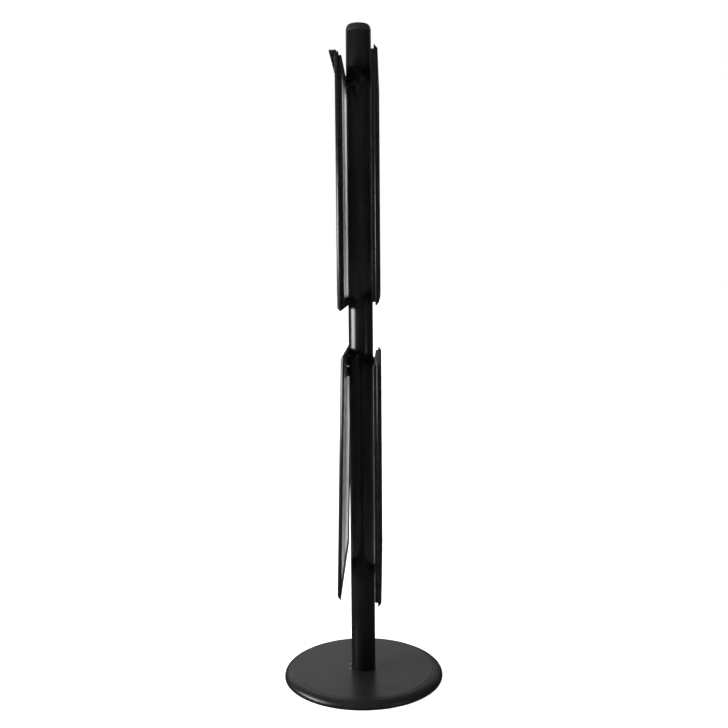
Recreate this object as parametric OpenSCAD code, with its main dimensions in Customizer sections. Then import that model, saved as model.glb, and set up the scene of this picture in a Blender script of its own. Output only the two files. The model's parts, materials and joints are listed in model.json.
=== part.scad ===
// Double sided sign stand: four snap poster frames on a round post with a weighted round base.
// Z is up, X runs along the frame widths, front frames face -Y. All sizes in mm.

/* [Base] */
// Outer radius of the round base
base_radius = 265; // [220:1:320]
// Height of the flat top of the base above the floor
base_height = 24; // [14:0.5:28]
// Radial width of the soft curved rim
rim_width = 33; // [8:1:40]
// Depth of the small step round the edge of the flat top
rim_step = 0.9; // [0.1:0.1:1.5]
// Sheet thickness of the base cover
cover_sheet_thickness = 1.2; // [0.8:0.1:2]
// Height of the rubber trim and of the pads under the base
pad_height = 2.6; // [2:0.1:5]
// Number of rubber pads under the weight
pad_count = 6; // [3:1:10]

/* [Post] */
// Outer radius of the post
post_radius = 40; // [30:0.5:50]
// Wall thickness of the post tubes
post_wall = 2; // [1.5:0.1:4]
// Height of the joint between lower and upper tube
post_joint_height = 1934; // [1900:1:2000]
// Height of the seam under the cap
cap_seam_height = 2102; // [2050:1:2150]
// Height of the top of the cap
post_top_height = 2126; // [2090:1:2200]

/* [Frames] */
// Outer width of each frame
frame_width = 594; // [400:1:700]
// Outer height of each frame
frame_height = 742; // [500:1:742]
// Width of the hinged cover strips
flap_width = 31; // [26:0.5:34]
// Depth of a snap frame from its back plane to its front face
frame_depth = 11.5; // [11.5:0.1:14]
// Depth of the mounting tray behind a snap frame
tray_depth = 8.6; // [8:0.1:12]
// Radial clearance of each hinge bead in its groove
hinge_clearance = 0.06; // [0.02:0.01:0.1]
// Gap at each side of a mitre cut
mitre_gap = 0.25; // [0.15:0.05:0.5]

/* [Frame positions] */
// Bottom edge of the upper front frame
front_upper_bottom = 1232.5; // [1150:0.5:1350]
// Bottom edge of the upper back frame
back_upper_bottom = 1249.5; // [1150:0.5:1350]
// Bottom edge of the lower back frame
back_lower_bottom = 341; // [300:0.5:400]
// Bottom edge of the lower front frame
front_lower_bottom = 361.5; // [300:0.5:400]
// Gap between post and tray of the upper front frame
front_upper_gap = 0.3; // [0.3:0.1:8]
// Gap between post and tray of the upper back frame
back_upper_gap = 3.1; // [0.3:0.1:8]
// Gap between post and tray of the lower back frame
back_lower_gap = 4.6; // [0.3:0.1:8]
// Gap between post and top back edge of the lower front frame
front_lower_gap = 0.3; // [0.3:0.1:8]
// Lean of the lower front frame away from the post, in degrees
front_lower_tilt = 1.36; // [0:0.02:3]
// Opening angle of the top strip of the upper front frame, in degrees
top_strip_angle = 104; // [0:1:104]

/* [Hidden] */

W = frame_width;
H = frame_height;
hc = 3.8;                       // hinge centre, from the outer edge and from the back plane
bead_r = 2.6;
groove_r = bead_r + hinge_clearance;
ridge_r = 3.8;
black = [0.06, 0.06, 0.065];
steel = [0.62, 0.63, 0.65];
top_z = base_height;
under_z = base_height - cover_sheet_thickness;
flat_r = base_radius - rim_width;
screw_up = [23, H - 23];        // heights of the tray screws above the frame's bottom edge
spacer_up = [700, 664];         // the same for the lower front frame

// ---- placing the four frames: local x along the width, local -y to the front, local z up ----
fu_plane = post_radius + front_upper_gap + tray_depth;
bu_plane = post_radius + back_upper_gap + tray_depth;
bl_plane = post_radius + back_lower_gap + tray_depth;
fl_plane = post_radius + front_lower_gap + H * sin(front_lower_tilt);

module at_front_upper() { translate([0, -fu_plane, front_upper_bottom]) children(); }
module at_back_upper() { rotate([0, 0, 180]) translate([0, -bu_plane, back_upper_bottom]) children(); }
module at_back_lower() { rotate([0, 0, 180]) translate([0, -bl_plane, back_lower_bottom]) children(); }
module at_front_lower() { translate([0, -fl_plane, front_lower_bottom]) rotate([-front_lower_tilt, 0, 0]) children(); }

// ---- rails: a profile in (inward, forward) pushed along x, mitred at 45 degrees ----
module sweep(len) { rotate([180, -90, 0]) linear_extrude(height = len, center = true) children(); }
module mitre(len) {
  rotate([90, 0, 0]) linear_extrude(height = 60, center = true)
    polygon([[-(len / 2 + 2 - mitre_gap), -2], [len / 2 + 2 - mitre_gap, -2],
             [len / 2 - 60 - mitre_gap, 60], [-(len / 2 - 60 - mitre_gap), 60]]);
}
module bottom_side() { children(); }
module top_side() { translate([0, 0, H]) rotate([0, 180, 0]) children(); }
module left_side() { translate([-W / 2, 0, H / 2]) rotate([0, 90, 0]) children(); }
module right_side() { translate([W / 2, 0, H / 2]) rotate([0, -90, 0]) children(); }

module mouth_cut() {
  polygon([[hc, hc], for (a = [61, 31, 0, -31, -62, -92]) [hc + 4.9 * sin(a), hc + 4.9 * cos(a)]]);
}
module base_rail(len) {
  intersection() {
    difference() {
      union() {
        sweep(len + 8) polygon([[hc, 0], [26, 0], [26, 4.4], [11, 4.4], [11, 6.6], [10, 6.6], [10, 1.2], [hc, 1.2]]);
        translate([0, -hc, hc]) rotate([0, 90, 0]) cylinder(r = ridge_r, h = len + 8, center = true, $fn = 48);
      }
      translate([0, -hc, hc]) rotate([0, 90, 0]) cylinder(r = groove_r, h = len + 12, center = true, $fn = 48);
      sweep(len + 12) mouth_cut();
      sweep(len + 12) polygon([[11, 1.2], [25, 1.2], [25, 3.4], [11, 3.4]]);
    }
    mitre(len);
  }
}
module rail_set() {
  bottom_side() base_rail(W);
  top_side() base_rail(W);
  left_side() base_rail(H);
  right_side() base_rail(H);
}
module flap(len, angle) {
  f = frame_depth;
  translate([0, -hc, hc]) rotate([angle, 0, 0]) translate([0, hc, -hc]) union() {
    translate([0, -hc, hc]) rotate([0, 90, 0]) cylinder(r = bead_r, h = len - 24, center = true, $fn = 48);
    intersection() {
      sweep(len + 8) polygon([[hc - 0.75, hc + 0.75], [5.05, 6.55], [5.9, f - 3.5], [7, f - 2.3], [8.3, f - 1.4], [9.8, f - 0.7], [11.4, f - 0.2], [13, f],
        [flap_width, f], [flap_width, f - 3.8], [flap_width - 1.4, f - 3.8], [flap_width - 1.4, f - 1.5], [f - 0.88, f - 1.5], [hc + 0.31, hc - 0.31]]);
      mitre(len);
    }
  }
}
module tray_rail(len, screwed) {
  d = tray_depth;
  intersection() {
    difference() {
      sweep(len + 8) polygon([[10, 0], [11.4, 0], [11.4, -1.6], [16, -1.6], [16, -2.8], [11.4, -2.8], [11.4, 1.2 - d], [36, 1.2 - d], [36, -d], [10, -d]]);
      if (screwed) hole_y(3.3, -d - 2, 3 - d, 0, screw_up[0]);
    }
    mitre(len);
  }
}
module tray_rail_set() {
  bottom_side() tray_rail(W, true);
  top_side() tray_rail(W, true);
  left_side() tray_rail(H, false);
  right_side() tray_rail(H, false);
}
// flat sheet, inset on every edge, from forward position v0 to v1
module sheet(inset, v0, v1) { translate([-W / 2 + inset, -v1, inset]) cube([W - 2 * inset, v1 - v0, H - 2 * inset]); }
module hole_y(r, v0, v1, x, z) { translate([x, -v0, z]) rotate([90, 0, 0]) cylinder(r = r, h = v1 - v0, $fn = 32); }

module tray_panel() { color([0.88, 0.88, 0.87]) sheet(11.5, -1.5, 0); }
module screw_set(gap) {
  d = tray_depth;
  for (z = screw_up) union() {
    hole_y(5.5, 1.2 - d, 4.2 - d, 0, z);
    hole_y(3, -(d + gap + 12), 1.3 - d, 0, z);
  }
}
module saddle_set(gap) {
  plane = post_radius + gap;
  for (z = screw_up, s = [-1, 1]) difference() {
    translate([s > 0 ? 7 : -20, tray_depth, z - 12]) cube([13, gap + 11, 24]);
    translate([0, tray_depth + plane, z]) cylinder(r = post_radius + 0.05, h = 60, center = true, $fn = 96);
  }
}
module key() {
  a = 11.3; b = 24.7; c = 76;
  translate([0, -1.35, 0]) rotate([90, 0, 0]) linear_extrude(height = 1.9)
    polygon([[a, a], [c, a], [c, b], [b, b], [b, c], [a, c]]);
}
module key_set() {
  translate([-W / 2, 0, 0]) key();
  translate([W / 2, 0, 0]) rotate([0, -90, 0]) key();
  translate([W / 2, 0, H]) rotate([0, 180, 0]) key();
  translate([-W / 2, 0, H]) rotate([0, 90, 0]) key();
}
module leaf() {
  sweep(30) polygon([[7.9, 1.2], [9.7, 1.2], [9.7, 1.6], [8.5, 1.6], [9.3, 6.6], [9.5, 7.2], [9.1, 7.3], [8.9, 6.7], [8.1, 1.6], [7.9, 1.6]]);
}
module leaf_pair(len) { for (s = [-0.25, 0.25]) translate([s * len, 0, 0]) leaf(); }
module leaf_set() {
  bottom_side() leaf_pair(W);
  top_side() leaf_pair(W);
  left_side() leaf_pair(H);
  right_side() leaf_pair(H);
}

// ---- base ----
module base_cover() {
  color(black) difference() {
    rotate_extrude($fn = 128) polygon(concat(
      [[post_radius - post_wall + 0.2, top_z], [flat_r, top_z]],
      [for (a = [90:-7.5:0]) [flat_r + 1.5 + (rim_width - 1.5) * cos(a), 4 + (top_z - rim_step - 4) * sin(a)]],
      [[base_radius, pad_height], [base_radius - cover_sheet_thickness, pad_height]],
      [for (a = [0:7.5:90]) [flat_r + 1.5 + (rim_width - 1.5 - cover_sheet_thickness) * cos(a), 4 + (under_z - rim_step - 4) * sin(a)]],
      [[flat_r, under_z], [post_radius - post_wall + 0.2, under_z]]));
    for (x = [-16, 16], y = [-44, 44]) translate([x, y, under_z - 1]) cylinder(r = 2.3, h = 4, $fn = 24);
  }
}
module base_weight() {
  color([0.2, 0.2, 0.21]) difference() {
    translate([0, 0, pad_height]) cylinder(r = base_radius - 85, h = under_z - pad_height, $fn = 128);
    translate([0, 0, 0]) cylinder(r = 16, h = 10, $fn = 48);
    cylinder(r = 6.3, h = 30, $fn = 32);
    for (x = [-16, 16], y = [-44, 44]) translate([x, y, 7.6]) cylinder(r = 2.05, h = 20, $fn = 24);
  }
}
module base_edge_trim() {
  color([0.03, 0.03, 0.03]) rotate_extrude($fn = 128)
    polygon([[base_radius - 4, 0], [base_radius - 0.4, 0], [base_radius, 0.4], [base_radius, pad_height], [base_radius - 4, pad_height]]);
}
module base_pads() {
  color([0.03, 0.03, 0.03]) for (i = [0:pad_count - 1]) rotate([0, 0, (i + 0.5) * 360 / pad_count])
    translate([base_radius - 105, 0, 0]) cylinder(r = 14, h = pad_height, $fn = 48);
}
module base_bolt() {
  color(steel) union() {
    translate([0, 0, 3]) cylinder(r = 10, h = 5.4, $fn = 6);
    translate([0, 0, 8.3]) cylinder(r = 6, h = 34, $fn = 32);
  }
}
module base_washer() {
  color(steel) difference() {
    translate([0, 0, 8.4]) cylinder(r = 14, h = 1.6, $fn = 48);
    cylinder(r = 6.4, h = 30, $fn = 32);
  }
}
module foot_screws() {
  color(steel) for (x = [-16, 16], y = [-44, 44]) translate([x, y, 0]) {
    translate([0, 0, top_z]) cylinder(r = 2.9, h = 1.7, $fn = 32);
    translate([0, 0, 8]) cylinder(r = 2, h = top_z - 7.9, $fn = 24);
  }
}

// ---- post ----
post_in = post_radius - post_wall;
nut_places = [[-1, front_upper_bottom + screw_up[0]], [1, back_upper_bottom + screw_up[0]],
              [1, back_lower_bottom + screw_up[0]], [1, back_lower_bottom + screw_up[1]]];
top_places = [[-1, front_upper_bottom + screw_up[1]], [1, back_upper_bottom + screw_up[1]]];  // these two thread into the coupler
module post_spigot() {
  color([0.3, 0.3, 0.31]) difference() {
    translate([0, 0, under_z]) cylinder(r = post_in - 0.1, h = 110, $fn = 96);
    translate([0, 0, 45]) cylinder(r = post_in - 4, h = 110, $fn = 96);
    cylinder(r = 6.05, h = 60, $fn = 32);
  }
}
module tube(z0, z1) {
  difference() {
    translate([0, 0, z0]) cylinder(r = post_radius, h = z1 - z0, $fn = 128);
    translate([0, 0, z0 - 1]) cylinder(r = post_in, h = z1 - z0 + 2, $fn = 128);
  }
}
module post_lower_tube() {
  color(black) difference() {
    tube(top_z, post_joint_height);
    for (n = nut_places) translate([0, 0, n[1]]) rotate([n[0] > 0 ? -90 : 90, 0, 0]) cylinder(r = 3.3, h = 60, $fn = 32);
    at_front_lower() for (z = spacer_up) hole_y(3.3, -30, 0, 0, z);
    for (s = [-1, 1]) translate([0, 0, post_joint_height - 34]) rotate([s * 90, 0, 0]) cylinder(r = 2.6, h = 60, $fn = 24);
  }
}
module post_upper_tube() {
  color(black) difference() {
    tube(post_joint_height + 0.8, cap_seam_height);
    for (n = top_places) translate([0, 0, n[1]]) rotate([n[0] > 0 ? -90 : 90, 0, 0]) cylinder(r = 3.3, h = 60, $fn = 32);
  }
}
module post_coupler() {
  color([0.3, 0.3, 0.31]) difference() {
    translate([0, 0, post_joint_height - 66]) cylinder(r = post_in - 0.1, h = 132, $fn = 96);
    translate([0, 0, post_joint_height - 70]) cylinder(r = post_in - 4, h = 140, $fn = 96);
    for (s = [-1, 1]) translate([0, 0, post_joint_height - 34]) rotate([s * 90, 0, 0]) cylinder(r = 2.55, h = 60, $fn = 24);
    for (n = top_places) translate([0, 0, n[1]]) rotate([n[0] > 0 ? -90 : 90, 0, 0]) cylinder(r = 3.05, h = 60, $fn = 32);
  }
}
module coupler_screws() {
  color(steel) for (s = [-1, 1]) translate([0, 0, post_joint_height - 34]) rotate([s * 90, 0, 0])
    translate([0, 0, post_in - 5]) cylinder(r = 2.5, h = 6.6, $fn = 24);
}
module post_weld_nuts() {
  color(steel) {
    for (n = nut_places) difference() {
      translate([0, 0, n[1]]) rotate([n[0] > 0 ? -90 : 90, 0, 0]) translate([0, 0, 31]) cylinder(r = 6, h = 6.4, $fn = 32);
      translate([0, 0, n[1]]) rotate([n[0] > 0 ? -90 : 90, 0, 0]) cylinder(r = 3.05, h = 60, $fn = 32);
    }
    at_front_lower() for (z = spacer_up) difference() {
      v = -(front_lower_gap + (H - z) * sin(front_lower_tilt) + 3);
      hole_y(6, v - 6, v, 0, z);
      hole_y(3.05, v - 20, v + 20, 0, z);
    }
  }
}
module post_cap() {
  t = post_top_height;
  color(black) rotate_extrude($fn = 128) polygon([[0, cap_seam_height - 24], [post_in - 0.1, cap_seam_height - 24], [post_in - 0.1, cap_seam_height],
    [post_radius, cap_seam_height], for (a = [0:7.5:82.5]) [post_radius - 10 + 10 * cos(a), cap_seam_height + 1 + (t - 3 - cap_seam_height) * sin(a)],
    for (r = [29, 24, 16, 8, 0]) [r, t - 2 * r * r / 900]]);
}

// ---- shared frame fittings ----
module tray_saddles() {
  color([0.05, 0.05, 0.05]) {
    at_front_upper() saddle_set(front_upper_gap);
    at_back_upper() saddle_set(back_upper_gap);
    at_back_lower() saddle_set(back_lower_gap);
  }
}
module tray_screws() {
  color(steel) { at_front_upper() screw_set(front_upper_gap); at_back_upper() screw_set(back_upper_gap); at_back_lower() screw_set(back_lower_gap); }
}
module front_lower_spacers() {
  color([0.05, 0.05, 0.05]) difference() {
    at_front_lower() for (z = spacer_up) difference() {
      translate([-12, -4.4, z - 14]) cube([24, 26, 28]);
      hole_y(3.3, -40, 10, 0, z);
    }
    translate([0, 0, 900]) cylinder(r = post_radius + 0.05, h = 400, center = true, $fn = 96);
    translate([-50, -30, 900]) cube([100, 60, 400]);
  }
}
module front_lower_screws() {
  color(steel) at_front_lower() for (z = spacer_up) union() {
    translate([0, -4.4, z]) rotate([90, 0, 0]) cylinder(r1 = 3, r2 = 5, h = 2, $fn = 32);
    hole_y(3, -(front_lower_gap + (H - z) * sin(front_lower_tilt) + 12), 4.5, 0, z);
  }
}
module front_lower_hanger_plates() {
  color(black) at_front_lower() for (s = [-1, 1]) difference() {
    translate([s > 0 ? 138 : -225, 0, H - 76]) cube([87, 1.5, 73]);
    hole_y(5, -5, 5, s * 181.5, H - 58);
    translate([s * 181.5 - 2.5, -2, H - 58]) cube([5, 6, 16]);
  }
}
module corner_keys() {
  color(steel) { at_front_upper() key_set(); at_back_upper() key_set(); at_back_lower() key_set(); at_front_lower() key_set(); }
}
module flap_springs() {
  color(steel) { at_front_upper() leaf_set(); at_back_upper() leaf_set(); at_back_lower() leaf_set(); at_front_lower() leaf_set(); }
}

// ---- the four frames ----
module back_sheet() { color([0.9, 0.9, 0.9]) sheet(11.3, 4.4, 6.4); }
module poster_sheet() { color([0.97, 0.97, 0.97]) sheet(11.3, 6.4, 6.7); }
module clear_sheet() { color([0.9, 0.95, 1, 0.3]) sheet(11.3, 6.7, 7.4); }

module front_upper_rails() { color(black) at_front_upper() rail_set(); }
module front_upper_back_panel() { at_front_upper() back_sheet(); }
module front_upper_poster() { at_front_upper() poster_sheet(); }
module front_upper_clear_cover() { at_front_upper() clear_sheet(); }
module front_upper_tray_rails() { color(black) at_front_upper() tray_rail_set(); }
module front_upper_tray_panel() { at_front_upper() tray_panel(); }
module front_upper_flap_top() { color(black) at_front_upper() top_side() flap(W, top_strip_angle); }
module front_upper_flap_bottom() { color(black) at_front_upper() bottom_side() flap(W, 0); }
module front_upper_flap_left() { color(black) at_front_upper() left_side() flap(H, 0); }
module front_upper_flap_right() { color(black) at_front_upper() right_side() flap(H, 0); }

module back_upper_rails() { color(black) at_back_upper() rail_set(); }
module back_upper_back_panel() { at_back_upper() back_sheet(); }
module back_upper_poster() { at_back_upper() poster_sheet(); }
module back_upper_clear_cover() { at_back_upper() clear_sheet(); }
module back_upper_tray_rails() { color(black) at_back_upper() tray_rail_set(); }
module back_upper_tray_panel() { at_back_upper() tray_panel(); }
module back_upper_flap_top() { color(black) at_back_upper() top_side() flap(W, 0); }
module back_upper_flap_bottom() { color(black) at_back_upper() bottom_side() flap(W, 0); }
module back_upper_flap_left() { color(black) at_back_upper() left_side() flap(H, 0); }
module back_upper_flap_right() { color(black) at_back_upper() right_side() flap(H, 0); }

module back_lower_rails() { color(black) at_back_lower() rail_set(); }
module back_lower_back_panel() { at_back_lower() back_sheet(); }
module back_lower_poster() { at_back_lower() poster_sheet(); }
module back_lower_clear_cover() { at_back_lower() clear_sheet(); }
module back_lower_tray_rails() { color(black) at_back_lower() tray_rail_set(); }
module back_lower_tray_panel() { at_back_lower() tray_panel(); }
module back_lower_flap_top() { color(black) at_back_lower() top_side() flap(W, 0); }
module back_lower_flap_bottom() { color(black) at_back_lower() bottom_side() flap(W, 0); }
module back_lower_flap_left() { color(black) at_back_lower() left_side() flap(H, 0); }
module back_lower_flap_right() { color(black) at_back_lower() right_side() flap(H, 0); }

module front_lower_rails() { color(black) at_front_lower() rail_set(); }
module front_lower_back_panel() {
  color([0.9, 0.9, 0.9]) at_front_lower() difference() {
    sheet(11.3, 4.4, 6.4);
    for (z = spacer_up) translate([0, -4.35, z]) rotate([90, 0, 0]) cylinder(r1 = 3.3, r2 = 5.3, h = 2.1, $fn = 32);
    for (z = spacer_up) hole_y(3.3, 0, 8, 0, z);
  }
}
module front_lower_poster() { at_front_lower() poster_sheet(); }
module front_lower_clear_cover() { at_front_lower() clear_sheet(); }
module front_lower_flap_top() { color(black) at_front_lower() top_side() flap(W, 0); }
module front_lower_flap_bottom() { color(black) at_front_lower() bottom_side() flap(W, 0); }
module front_lower_flap_left() { color(black) at_front_lower() left_side() flap(H, 0); }
module front_lower_flap_right() { color(black) at_front_lower() right_side() flap(H, 0); }

base_cover();
base_weight();
base_edge_trim();
base_pads();
base_bolt();
base_washer();
foot_screws();
post_spigot();
post_lower_tube();
post_upper_tube();
post_coupler();
coupler_screws();
post_weld_nuts();
post_cap();
tray_saddles();
tray_screws();
front_lower_spacers();
front_lower_screws();
front_lower_hanger_plates();
corner_keys();
flap_springs();
front_upper_rails();
front_upper_back_panel();
front_upper_poster();
front_upper_clear_cover();
front_upper_tray_rails();
front_upper_tray_panel();
front_upper_flap_top();
front_upper_flap_bottom();
front_upper_flap_left();
front_upper_flap_right();
back_upper_rails();
back_upper_back_panel();
back_upper_poster();
back_upper_clear_cover();
back_upper_tray_rails();
back_upper_tray_panel();
back_upper_flap_top();
back_upper_flap_bottom();
back_upper_flap_left();
back_upper_flap_right();
back_lower_rails();
back_lower_back_panel();
back_lower_poster();
back_lower_clear_cover();
back_lower_tray_rails();
back_lower_tray_panel();
back_lower_flap_top();
back_lower_flap_bottom();
back_lower_flap_left();
back_lower_flap_right();
front_lower_rails();
front_lower_back_panel();
front_lower_poster();
front_lower_clear_cover();
front_lower_flap_top();
front_lower_flap_bottom();
front_lower_flap_left();
front_lower_flap_right();
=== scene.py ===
import json
import math
import bpy
import bmesh
from mathutils import Matrix, Vector


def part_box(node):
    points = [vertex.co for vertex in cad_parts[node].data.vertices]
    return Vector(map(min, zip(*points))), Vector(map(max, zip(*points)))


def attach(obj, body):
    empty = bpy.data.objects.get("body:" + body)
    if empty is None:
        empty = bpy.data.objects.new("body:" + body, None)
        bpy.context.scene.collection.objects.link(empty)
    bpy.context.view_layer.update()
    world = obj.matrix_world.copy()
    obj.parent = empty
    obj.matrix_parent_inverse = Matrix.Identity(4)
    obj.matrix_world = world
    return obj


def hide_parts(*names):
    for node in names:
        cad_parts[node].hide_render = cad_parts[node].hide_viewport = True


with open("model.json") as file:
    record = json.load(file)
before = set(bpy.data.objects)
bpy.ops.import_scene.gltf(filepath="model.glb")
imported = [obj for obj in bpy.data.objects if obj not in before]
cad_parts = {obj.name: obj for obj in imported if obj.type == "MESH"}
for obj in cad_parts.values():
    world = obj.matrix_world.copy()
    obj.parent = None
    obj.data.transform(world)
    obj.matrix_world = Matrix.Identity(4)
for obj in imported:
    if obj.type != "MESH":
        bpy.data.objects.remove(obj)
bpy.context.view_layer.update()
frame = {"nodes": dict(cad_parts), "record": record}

nodes = frame["nodes"]

# ------------------------------------------------------------------ camera
CAM_C = Vector((2.92733, 0.08603, 1.3345))
TH, PS, RO, F_PX = 0.0969, -0.0261, -0.0083, 900.43
Fv = Vector((-math.cos(PS), math.sin(PS), 0.0))
Zv = Vector((0, 0, 1))
Rv = Fv.cross(Zv)
F2 = math.cos(TH) * Fv - math.sin(TH) * Zv
U2 = math.cos(TH) * Zv + math.sin(TH) * Fv
R3 = math.cos(RO) * Rv + math.sin(RO) * U2
U3 = -math.sin(RO) * Rv + math.cos(RO) * U2
cam_data = bpy.data.cameras.new("photo_camera")
cam = bpy.data.objects.new("photo_camera", cam_data)
bpy.context.scene.collection.objects.link(cam)
cam.matrix_world = Matrix(((R3.x, U3.x, -F2.x, CAM_C.x), (R3.y, U3.y, -F2.y, CAM_C.y), (R3.z, U3.z, -F2.z, CAM_C.z), (0, 0, 0, 1)))
cam_data.sensor_width = 36.0
cam_data.lens = F_PX / 728.0 * 36.0
cam_data.clip_start = 0.05
cam_data.clip_end = 200.0
bpy.context.scene.camera = cam
bpy.context.scene.view_settings.view_transform = "Standard"
bpy.context.scene.view_settings.look = "None"
bpy.context.scene.view_settings.exposure = 0.0
bpy.context.scene.view_settings.gamma = 1.0


# ------------------------------------------------------------------ node helpers
class Mat:
    """A material with small helpers for building its node tree."""

    def __init__(self, name):
        self.m = bpy.data.materials.new(name)
        self.m.use_nodes = True
        self.t = self.m.node_tree
        self.n = self.t.nodes
        self.n.clear()
        self.out = self.n.new("ShaderNodeOutputMaterial")
        self.b = self.n.new("ShaderNodeBsdfPrincipled")
        self.link(self.b.outputs["BSDF"], self.out.inputs["Surface"])
        self.tc = self.n.new("ShaderNodeTexCoord")

    def link(self, a, b):
        self.t.links.new(a, b)

    def coords(self, scale=(1, 1, 1), rot=(0, 0, 0)):
        mp = self.n.new("ShaderNodeMapping")
        mp.inputs["Scale"].default_value = scale
        mp.inputs["Rotation"].default_value = rot
        self.link(self.tc.outputs["Object"], mp.inputs["Vector"])
        return mp.outputs["Vector"]

    def noise(self, scale, detail=3.0, rough=0.5, vec=None):
        x = self.n.new("ShaderNodeTexNoise")
        x.inputs["Scale"].default_value = scale
        x.inputs["Detail"].default_value = detail
        x.inputs["Roughness"].default_value = rough
        self.link(vec if vec is not None else self.tc.outputs["Object"], x.inputs["Vector"])
        return x.outputs["Fac"]

    def voronoi(self, scale, vec=None, feature="F1"):
        x = self.n.new("ShaderNodeTexVoronoi")
        x.feature = feature
        x.inputs["Scale"].default_value = scale
        self.link(vec if vec is not None else self.tc.outputs["Object"], x.inputs["Vector"])
        return x.outputs["Distance"]

    def ramp(self, fac, stops):
        x = self.n.new("ShaderNodeValToRGB")
        e = x.color_ramp.elements
        while len(e) < len(stops):
            e.new(0.5)
        for el, (p, c) in zip(e, stops):
            el.position = p
            el.color = (c, c, c, 1) if isinstance(c, (int, float)) else (c[0], c[1], c[2], 1)
        self.link(fac, x.inputs["Fac"])
        return x.outputs["Color"]

    def rng(self, fac, a, b, lo=0.3, hi=0.7):
        x = self.n.new("ShaderNodeMapRange")
        x.inputs["From Min"].default_value = lo
        x.inputs["From Max"].default_value = hi
        x.inputs["To Min"].default_value = a
        x.inputs["To Max"].default_value = b
        self.link(fac, x.inputs["Value"])
        return x.outputs["Result"]

    def math(self, op, a, b=None, clamp=False):
        x = self.n.new("ShaderNodeMath")
        x.operation = op
        x.use_clamp = clamp
        for i, v in enumerate((a, b)):
            if v is None:
                continue
            if isinstance(v, (int, float)):
                x.inputs[i].default_value = v
            else:
                self.link(v, x.inputs[i])
        return x.outputs[0]

    def mix(self, fac, a, b, mode="MIX"):
        x = self.n.new("ShaderNodeMix")
        x.data_type = "RGBA"
        x.blend_type = mode
        for k, v in ((0, fac), (6, a), (7, b)):
            if isinstance(v, (int, float)):
                x.inputs[k].default_value = v if k == 0 else (v, v, v, 1)
            elif isinstance(v, tuple):
                x.inputs[k].default_value = (v[0], v[1], v[2], 1)
            else:
                self.link(v, x.inputs[k])
        return x.outputs[2]

    def bump(self, height, dist, strength=1.0, normal=None):
        x = self.n.new("ShaderNodeBump")
        x.inputs["Strength"].default_value = strength
        x.inputs["Distance"].default_value = dist
        self.link(height, x.inputs["Height"])
        if normal is not None:
            self.link(normal, x.inputs["Normal"])
        return x.outputs["Normal"]

    def edges(self, radius=0.0006, lo=0.8, hi=0.985):
        """1 on sharp edges, 0 on flat areas, from how far a rounded normal leans from the real one."""
        bv = self.n.new("ShaderNodeBevel")
        bv.samples = 4
        bv.inputs["Radius"].default_value = radius
        g = self.n.new("ShaderNodeNewGeometry")
        d = self.n.new("ShaderNodeVectorMath")
        d.operation = "DOT_PRODUCT"
        self.link(bv.outputs["Normal"], d.inputs[0])
        self.link(g.outputs["Normal"], d.inputs[1])
        return self.rng(d.outputs["Value"], 1.0, 0.0, lo, hi)

    def normal_axis(self, axis):
        s = self.n.new("ShaderNodeSeparateXYZ")
        self.link(self.tc.outputs["Normal"], s.inputs[0])
        return s.outputs[axis]

    def up_facing(self, lo=0.6, hi=0.95):
        g = self.n.new("ShaderNodeNewGeometry")
        s = self.n.new("ShaderNodeSeparateXYZ")
        self.link(g.outputs["Normal"], s.inputs[0])
        return self.rng(s.outputs[2], 0.0, 1.0, lo, hi)

    def set(self, **kw):
        for k, v in kw.items():
            self.b.inputs[k.replace("_", " ")].default_value = v
        return self


def powder_coat(name, base=0.01, r0=0.34, r1=0.42, peel=0.000012, spec=0.3, dust=0.0):
    m = Mat(name)
    cloud = m.noise(3.2, 5.0, 0.55)
    col = m.ramp(cloud, [(0.25, (base * 0.94, base * 0.95, base * 0.98)), (0.75, (base * 1.07, base * 1.07, base * 1.1))])
    wear = m.math("MULTIPLY", m.edges(0.0007), m.rng(m.noise(90.0, 5.0, 0.65), 0.0, 0.55, 0.5, 0.68), clamp=True)
    col = m.mix(wear, col, (0.08, 0.08, 0.082))
    if dust > 0:
        speck = m.rng(m.voronoi(260.0), 1.0, 0.0, 0.05, 0.11)
        keep = m.rng(m.noise(17.0, 2.0), 0.0, 1.0, 0.5, 0.64)
        amount = m.math("MULTIPLY", m.math("MULTIPLY", speck, keep), m.math("MULTIPLY", m.up_facing(), dust), clamp=True)
        col = m.mix(amount, col, (0.12, 0.12, 0.115))
        film = m.math("MULTIPLY", m.rng(m.noise(5.0, 4.0, 0.6), 0.0, 0.03, 0.45, 0.7), m.up_facing(), clamp=True)
        col = m.mix(film, col, (0.1, 0.1, 0.098))
    m.link(col, m.b.inputs["Base Color"])
    m.link(m.rng(m.noise(14.0, 5.0, 0.6), r0, r1), m.b.inputs["Roughness"])
    nrm = m.bump(m.noise(650.0, 2.0, 0.45), peel, 0.5)
    nrm = m.bump(m.noise(3000.0, 1.0), peel * 0.3, 0.3, nrm)
    m.link(nrm, m.b.inputs["Normal"])
    m.b.inputs["Specular IOR Level"].default_value = spec
    return m.m


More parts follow.
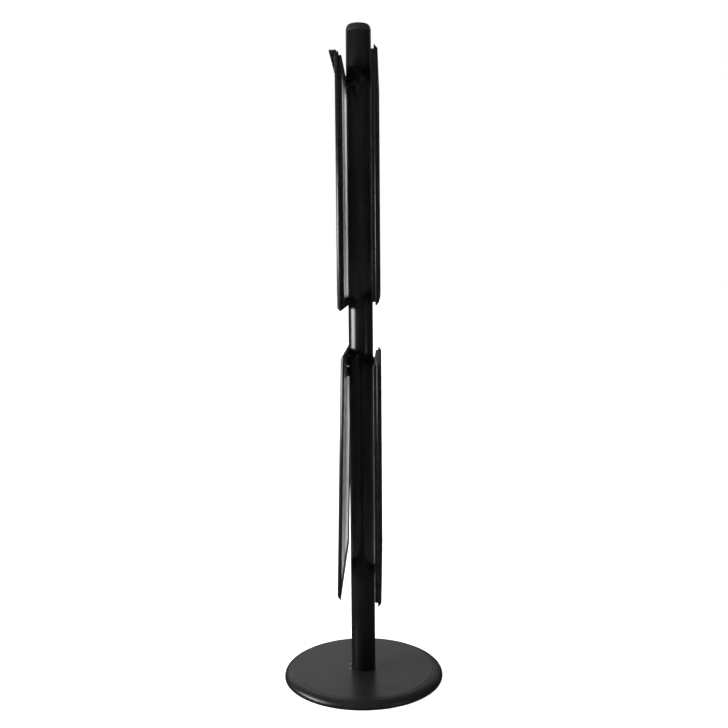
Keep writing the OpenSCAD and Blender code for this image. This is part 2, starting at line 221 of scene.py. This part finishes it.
def extrusion(name, run, base=0.0055, r0=0.24, r1=0.31, spec=0.22):
    """Black anodised extrusion: fine die lines along the run axis, bare metal on the mitre cuts."""
    m = Mat(name)
    sc = {"X": (3.0, 1300.0, 1300.0), "Z": (1300.0, 1300.0, 3.0), "": (500.0, 500.0, 500.0)}[run]
    lines = m.noise(1.0, 2.0, 0.5, m.coords(sc))
    cloud = m.noise(4.0, 5.0, 0.55)
    col = m.ramp(cloud, [(0.25, (base * 0.93, base * 0.93, base * 0.97)), (0.75, (base * 1.08, base * 1.08, base * 1.12))])
    wear = m.math("MULTIPLY", m.edges(0.0005), m.rng(m.noise(75.0, 5.0, 0.7), 0.0, 0.6, 0.5, 0.7), clamp=True)
    col = m.mix(wear, col, (0.17, 0.17, 0.175))
    if run:
        n = m.math("ABSOLUTE", m.normal_axis(0 if run == "X" else 2))
        cut = m.math("MULTIPLY", m.math("GREATER_THAN", n, 0.66), m.math("LESS_THAN", n, 0.75))
        saw = m.noise(1.0, 1.0, 0.5, m.coords((900.0, 90.0, 900.0)))
        col = m.mix(cut, col, m.ramp(saw, [(0.3, (0.42, 0.42, 0.43)), (0.7, (0.62, 0.62, 0.63))]))
        m.link(cut, m.b.inputs["Metallic"])
    m.link(col, m.b.inputs["Base Color"])
    m.link(m.rng(m.math("ADD", m.math("MULTIPLY", lines, 0.5), m.math("MULTIPLY", m.noise(20.0, 4.0), 0.5)), r0, r1), m.b.inputs["Roughness"])
    m.link(m.bump(lines, 0.000008, 0.5), m.b.inputs["Normal"])
    m.b.inputs["Specular IOR Level"].default_value = spec
    return m.m


def plain_sheet(name, base, r0, r1, grain=900.0, depth=0.00001, spec=0.5):
    m = Mat(name)
    col = m.ramp(m.noise(5.0, 4.0), [(0.3, tuple(c * 0.965 for c in base)), (0.7, base)])
    m.link(col, m.b.inputs["Base Color"])
    m.link(m.rng(m.noise(28.0, 5.0), r0, r1), m.b.inputs["Roughness"])
    m.link(m.bump(m.noise(grain, 3.0), depth, 0.5), m.b.inputs["Normal"])
    m.b.inputs["Specular IOR Level"].default_value = spec
    return m.m


def clear_sheet(name):
    m = Mat(name)
    m.b.inputs["Base Color"].default_value = (0.97, 0.985, 0.99, 1)
    m.b.inputs["Transmission Weight"].default_value = 1.0
    m.b.inputs["IOR"].default_value = 1.45
    m.link(m.rng(m.noise(16.0, 4.0), 0.05, 0.12), m.b.inputs["Roughness"])
    m.link(m.bump(m.noise(4.0, 2.0), 0.0002, 0.25), m.b.inputs["Normal"])
    # light for the poster behind passes straight through the sheet
    path = m.n.new("ShaderNodeLightPath")
    clear = m.n.new("ShaderNodeBsdfTransparent")
    clear.inputs["Color"].default_value = (0.95, 0.96, 0.96, 1)
    pane = m.n.new("ShaderNodeMixShader")
    m.link(m.math("MAXIMUM", path.outputs["Is Shadow Ray"], path.outputs["Is Diffuse Ray"]), pane.inputs[0])
    m.link(m.b.outputs["BSDF"], pane.inputs[1])
    m.link(clear.outputs["BSDF"], pane.inputs[2])
    m.link(pane.outputs["Shader"], m.out.inputs["Surface"])
    return m.m


def rubber(name):
    m = Mat(name)
    col = m.ramp(m.noise(40.0, 4.0), [(0.3, 0.006), (0.7, 0.009)])
    m.link(m.mix(m.rng(m.noise(300.0, 3.0), 0.0, 0.25, 0.55, 0.75), col, (0.02, 0.02, 0.02)), m.b.inputs["Base Color"])
    m.link(m.rng(m.noise(90.0, 4.0), 0.6, 0.8), m.b.inputs["Roughness"])
    m.link(m.bump(m.noise(1400.0, 3.0), 0.00003, 0.6), m.b.inputs["Normal"])
    m.b.inputs["Specular IOR Level"].default_value = 0.25
    return m.m


def metal(name, base, r0, r1, brushed=(240, 240, 240), depth=0.00002):
    m = Mat(name)
    lines = m.noise(1.0, 4.0, 0.6, m.coords(brushed))
    col = m.ramp(m.noise(18.0, 4.0), [(0.3, tuple(c * 0.8 for c in base)), (0.7, base)])
    m.link(col, m.b.inputs["Base Color"])
    m.b.inputs["Metallic"].default_value = 1.0
    m.link(m.rng(lines, r0, r1), m.b.inputs["Roughness"])
    m.link(m.bump(lines, depth, 0.4), m.b.inputs["Normal"])
    return m.m


def moulded(name, base=0.012, spec=0.35):
    m = Mat(name)
    col = m.ramp(m.noise(9.0, 4.0), [(0.25, base * 0.93), (0.75, base * 1.08)])
    wear = m.math("MULTIPLY", m.edges(0.0006), m.rng(m.noise(70.0, 5.0), 0.0, 0.5, 0.5, 0.65), clamp=True)
    m.link(m.mix(wear, col, (0.11, 0.11, 0.11)), m.b.inputs["Base Color"])
    m.link(m.rng(m.noise(25.0, 4.0), 0.34, 0.42), m.b.inputs["Roughness"])
    m.link(m.bump(m.voronoi(1500.0), 0.000015, 0.35), m.b.inputs["Normal"])
    m.b.inputs["Specular IOR Level"].default_value = spec
    return m.m


M = {
    "base_coat": powder_coat("base_coat", 0.0055, 0.28, 0.34, spec=0.25, dust=0.25),
    "post_coat": powder_coat("post_coat", 0.0045, 0.22, 0.27, spec=0.22),
    "black_anodised": extrusion("black_anodised", ""),
    "run_x": extrusion("black_anodised_x", "X"),
    "run_z": extrusion("black_anodised_z", "Z"),
    "tray_sheet": plain_sheet("tray_sheet", (0.93, 0.93, 0.92), 0.35, 0.45, 700.0, spec=0.4),
    "cap_plastic": moulded("cap_plastic"),
    "panel_white": plain_sheet("panel_white", (0.93, 0.93, 0.92), 0.3, 0.4),
    "poster_paper": plain_sheet("poster_paper", (0.84, 0.84, 0.83), 0.6, 0.75, 1600.0, 0.00002, 0.3),
    "clear_plastic": clear_sheet("clear_plastic"),
    "black_rubber": rubber("black_rubber"),
    "zinc_steel": metal("zinc_steel", (0.66, 0.67, 0.69), 0.22, 0.4),
    "spring_steel": metal("spring_steel", (0.5, 0.5, 0.52), 0.2, 0.35),
    "raw_steel_plate": metal("raw_steel_plate", (0.2, 0.2, 0.21), 0.45, 0.65),
}
slot_of = {s["node"]: s["material_slot"] for s in frame["record"]["subparts"]}


def soften(o, width, segments=2, angle=32):
    b = o.modifiers.new("edge_round", "BEVEL")
    b.width = width
    b.segments = segments
    b.limit_method = "ANGLE"
    b.angle_limit = math.radians(angle)
    b.harden_normals = False


def weld(o, dist=0.000005):
    b = o.modifiers.new("weld", "WELD")
    b.merge_threshold = dist


def smooth(o, angle=32):
    me = o.data
    for p in me.polygons:
        p.use_smooth = True
    if hasattr(me, "set_sharp_from_angle"):
        me.set_sharp_from_angle(angle=math.radians(angle))


# small edge radii in metres, first match wins
ROUND = [("flap_springs", 0.00005), ("_flap_", 0.0004), ("tray_rails", 0.0003), ("_rails", 0.0003), ("hanger", 0.0003), ("saddles", 0.0008),
         ("spacers", 0.0008), ("post_lower_tube", 0.0005), ("post_upper_tube", 0.0005), ("post_cap", 0.0005), ("foot_screws", 0.0007),
         ("tray_panel", 0.0002), ("base_edge_trim", 0.0004), ("screws", 0.0004)]

for name, o in nodes.items():
    key = slot_of[name]
    if "_flap_" in name and name != "flap_springs":
        key = "run_x" if name.endswith(("top", "bottom")) else "run_z"
    o.data.materials.clear()
    o.data.materials.append(M[key])
    smooth(o)
    for part, width in ROUND:
        if part in name:
            weld(o)
            soften(o, width)
            break

# ------------------------------------------------------------------ foot screws with a rounded head and a hex socket
def ring(bm, n, radius, z, cx, cy, hexed=False):
    out = []
    for i in range(n):
        a = 2 * math.pi * i / n
        r = radius
        if hexed:
            b = (a + math.pi / 6) % (math.pi / 3) - math.pi / 6
            r = radius * math.cos(math.pi / 6) / math.cos(b)
        out.append(bm.verts.new((cx + r * math.cos(a), cy + r * math.sin(a), z)))
    return out


def screw_heads(name, places, z0, z1, zs):
    bm = bmesh.new()
    n = 36
    h = z1 - z0
    for cx, cy in places:
        prof = [(0.0019, zs), (0.0019, z0), (0.0027, z0), (0.0029, z0 + 0.12 * h), (0.0029, z0 + 0.45 * h), (0.00275, z0 + 0.7 * h), (0.0024, z0 + 0.88 * h),
                (0.0019, z0 + 0.97 * h), (0.0016, z1)]
        rows = [ring(bm, n, r, z, cx, cy) for r, z in prof]
        rows.append(ring(bm, n, 0.0014, z1 - 0.00008, cx, cy, True))
        rows.append(ring(bm, n, 0.00132, z1 - 0.0009, cx, cy, True))
        for a, b in zip(rows, rows[1:]):
            for i in range(n):
                bm.faces.new((a[i], a[(i + 1) % n], b[(i + 1) % n], b[i]))
        bm.faces.new(list(reversed(rows[0])))
        tip = bm.verts.new((cx, cy, z1 - 0.0012))
        for i in range(n):
            bm.faces.new((rows[-1][i], rows[-1][(i + 1) % n], tip))
    bmesh.ops.recalc_face_normals(bm, faces=bm.faces)
    me = bpy.data.meshes.new(name)
    bm.to_mesh(me)
    bm.free()
    o = bpy.data.objects.new(name, me)
    bpy.context.scene.collection.objects.link(o)
    return o


lo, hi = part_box("foot_screws")
screws = screw_heads("foot_socket_screws", [(x, y) for x in (-0.016, 0.016) for y in (-0.044, 0.044)], 0.024, hi[2], lo[2] + 0.0005)
screws.data.materials.append(M["zinc_steel"])
smooth(screws, 28)
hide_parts("foot_screws")
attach(screws, "stand")

# ------------------------------------------------------------------ floor, light
def grid_plane(name, size, z):
    me = bpy.data.meshes.new(name)
    bm = bmesh.new()
    bmesh.ops.create_grid(bm, x_segments=8, y_segments=8, size=size)
    bm.to_mesh(me)
    bm.free()
    o = bpy.data.objects.new(name, me)
    o.location = (0, 0, z)
    bpy.context.scene.collection.objects.link(o)
    return o


floor = grid_plane("studio_floor", 60.0, 0.0)
fm = Mat("studio_floor_paint")
fm.link(fm.ramp(fm.noise(1.5, 3.0), [(0.3, 0.86), (0.7, 0.88)]), fm.b.inputs["Base Color"])
fm.link(fm.rng(fm.noise(3.0, 4.0), 0.75, 0.9), fm.b.inputs["Roughness"])
fm.b.inputs["Specular IOR Level"].default_value = 0.1
floor.data.materials.append(fm.m)
floor.visible_glossy = False


def area(name, loc, target, sx, sy, radiance, color=(1, 1, 1)):
    d = bpy.data.lights.new(name, "AREA")
    d.shape = "RECTANGLE"
    d.size, d.size_y = sx, sy
    d.energy = radiance * math.pi * sx * sy
    d.color = color
    o = bpy.data.objects.new(name, d)
    o.location = loc
    o.rotation_euler = (Vector(target) - Vector(loc)).to_track_quat("-Z", "Y").to_euler()
    bpy.context.scene.collection.objects.link(o)
    return o


area("left_softbox", (0.62, -2.32, 1.36), (0, 0, 1.36), 1.6, 0.96, 30.0)
area("right_strip", (1.6, 2.0, 0.7), (0, 0, 0.3), 0.25, 0.5, 14.0)

sun_data = bpy.data.lights.new("overhead", "SUN")
sun_data.energy = 2.9
sun_data.angle = math.radians(55)
sun = bpy.data.objects.new("overhead", sun_data)
sun.rotation_euler = Vector((0.2, 0.0, -1.0)).to_track_quat("-Z", "Y").to_euler()
bpy.context.scene.collection.objects.link(sun)
sun.visible_glossy = False

world = bpy.data.worlds.new("studio")
bpy.context.scene.world = world
world.use_nodes = True
wt = world.node_tree
wt.nodes.clear()
wo = wt.nodes.new("ShaderNodeOutputWorld")
bg = wt.nodes.new("ShaderNodeBackground")
tc = wt.nodes.new("ShaderNodeTexCoord")
sep = wt.nodes.new("ShaderNodeSeparateXYZ")
wt.links.new(tc.outputs["Generated"], sep.inputs[0])


def sky_range(axis, f0, f1, t0, t1):
    mr = wt.nodes.new("ShaderNodeMapRange")
    mr.interpolation_type = "SMOOTHSTEP"
    for k, v in (("From Min", f0), ("From Max", f1), ("To Min", t0), ("To Max", t1)):
        mr.inputs[k].default_value = v
    wt.links.new(sep.outputs[axis], mr.inputs["Value"])
    return mr.outputs["Result"]


def sky_math(op, a, b):
    x = wt.nodes.new("ShaderNodeMath")
    x.operation = op
    for i, v in enumerate((a, b)):
        if isinstance(v, (int, float)):
            x.inputs[i].default_value = v
        else:
            wt.links.new(v, x.inputs[i])
    return x.outputs[0]


# the white sweep is what the camera sees; highlights come from a raised back panel over dark flags
lp = wt.nodes.new("ShaderNodeLightPath")
diffuse_sky = sky_range("X", 0.7, -0.1, 0.05, 1.35)
panel = sky_math("MULTIPLY", sky_range("X", -0.55, -0.85, 0.0, 0.75), sky_range("Z", 0.12, 0.42, 0.0, 1.0))
panel = sky_math("MULTIPLY", panel, sky_range("Y", -0.3, 0.3, 1.5, 0.55))
high_card = sky_math("MULTIPLY", sky_range("X", 0.2, 0.6, 0.0, 0.28), sky_range("Z", 0.02, 0.2, 0.0, 1.0))
glossy_sky = sky_math("ADD", 0.03, sky_math("ADD", panel, high_card))
not_glossy = sky_math("SUBTRACT", 1.0, lp.outputs["Is Glossy Ray"])
unseen = sky_math("ADD", sky_math("MULTIPLY", lp.outputs["Is Glossy Ray"], glossy_sky), sky_math("MULTIPLY", not_glossy, diffuse_sky))
not_cam = sky_math("SUBTRACT", 1.0, lp.outputs["Is Camera Ray"])
total = sky_math("ADD", lp.outputs["Is Camera Ray"], sky_math("MULTIPLY", not_cam, unseen))
wt.links.new(total, bg.inputs["Strength"])
bg.inputs["Color"].default_value = (1, 1, 1, 1)
wt.links.new(bg.outputs["Background"], wo.inputs["Surface"])


bpy.context.view_layer.update()
